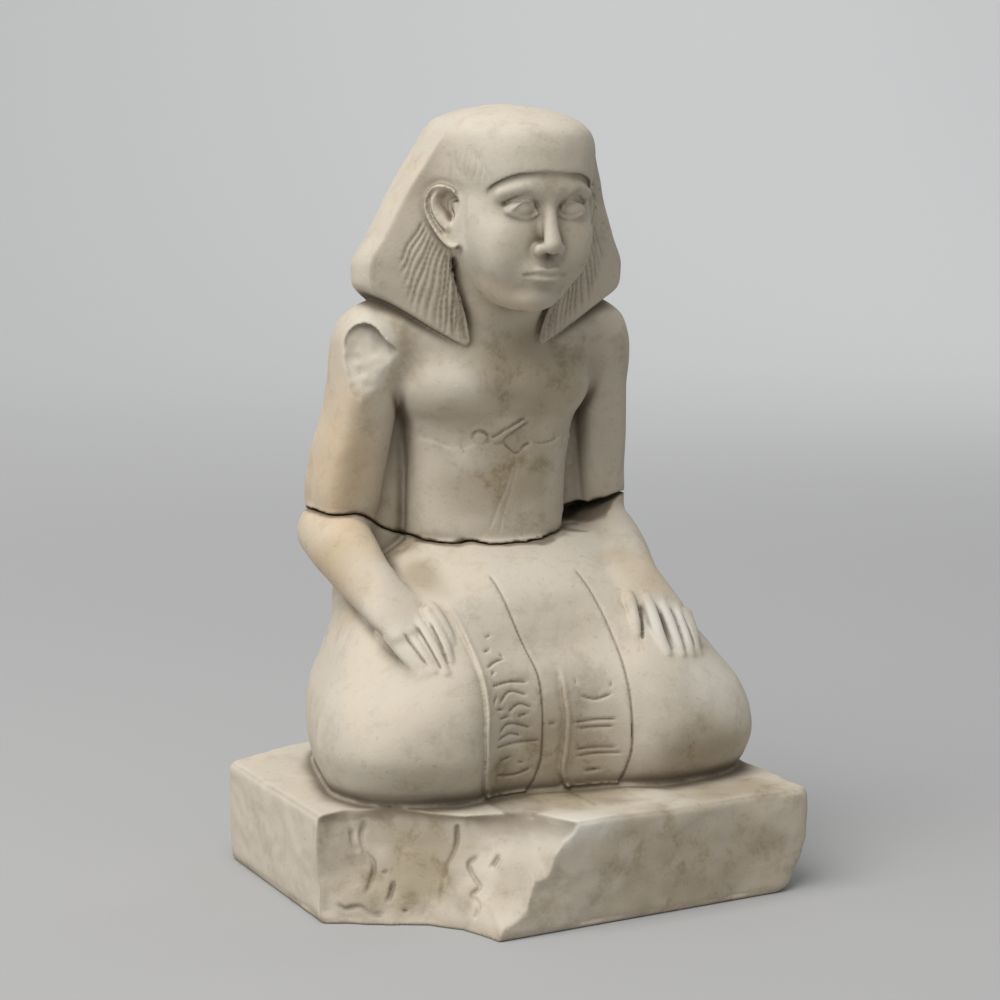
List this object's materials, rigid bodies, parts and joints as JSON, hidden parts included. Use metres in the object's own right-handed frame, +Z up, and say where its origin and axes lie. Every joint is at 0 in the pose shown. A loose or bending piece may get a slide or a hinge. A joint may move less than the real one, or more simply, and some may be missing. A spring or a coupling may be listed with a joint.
{
  "type": "official statuette",
  "caption": "Kneeling stone figure of an official in a long kilt and flared wig, hands on thighs, on a rough block base; broken at the waist and refitted.",
  "frame": {"origin": "middle of the part's footprint, on the surface it stands on", "axes": "+Z up, the figure looks along -Y, its left hand is at +X"},
  "size_m": [0.205, 0.1726, 0.32],
  "materials": {
    "limestone_lower": "matt worn limestone, warm cream with ochre and olive-brown patina",
    "limestone_upper": "matt worn limestone, warm cream with grey-white and ochre patches"
  },
  "bodies": {
    "root": {"lower_fragment_lap_and_base": "limestone_lower", "upper_fragment_head_and_torso": "limestone_upper"}
  },
  "joints": []
}
